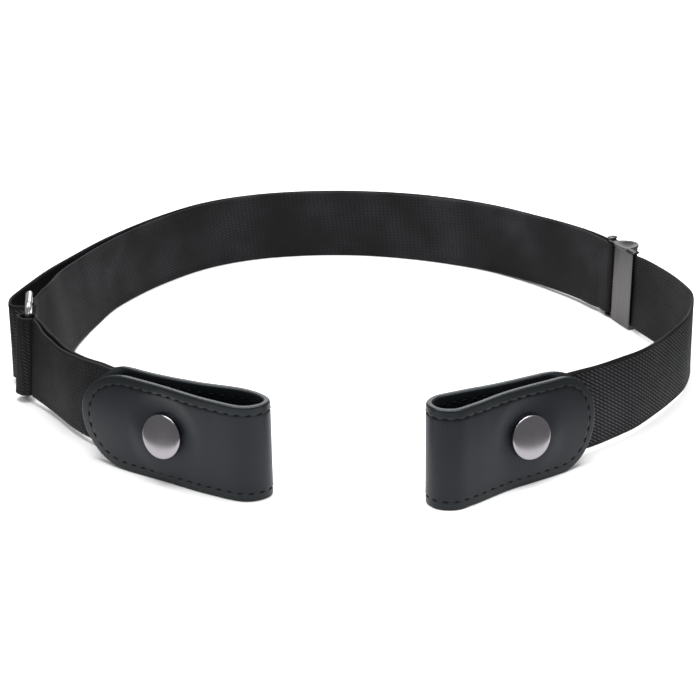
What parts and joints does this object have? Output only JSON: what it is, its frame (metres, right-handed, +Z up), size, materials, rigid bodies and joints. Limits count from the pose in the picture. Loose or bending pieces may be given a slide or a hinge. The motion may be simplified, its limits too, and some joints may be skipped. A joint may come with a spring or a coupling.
{
  "type": "elastic belt",
  "caption": "Elastic belt loop, open at the front, with a folded leather snap tab at each end, a wire ring and an adjuster clip with a hinged lever.",
  "frame": {"origin": "middle of the belt's outline seen from above, at the height of the surface that it stands on", "axes": "+Z up, the open front with its two tabs at -Y, the adjuster clip towards +X"},
  "size_m": [0.2609, 0.2596, 0.038],
  "materials": {
    "elastic": "black woven elastic with fine diagonal twill ribs",
    "leather": "smooth satin charcoal leather with stitched, painted edges",
    "gunmetal": "satin gunmetal plate",
    "polished_wire": "polished nickel wire"
  },
  "bodies": {
    "belt": {"main_strap": "elastic", "short_strap": "elastic", "ring": "polished_wire", "clip_plate": "gunmetal", "clip_bar": "gunmetal", "left_tab": "leather", "right_tab": "leather", "left_snap_cap": "gunmetal", "right_snap_cap": "gunmetal", "left_snap_stud": "gunmetal", "right_snap_stud": "gunmetal"},
    "lever": {"clip_lever": "gunmetal"}
  },
  "joints": [
    {"name": "lever_hinge", "type": "hinge", "parent": "belt", "child": "lever", "pos_m": [0.1153, 0.04333, 0.0169], "axis": [0, 0, 1], "range_deg": [0, 110]}
  ]
}
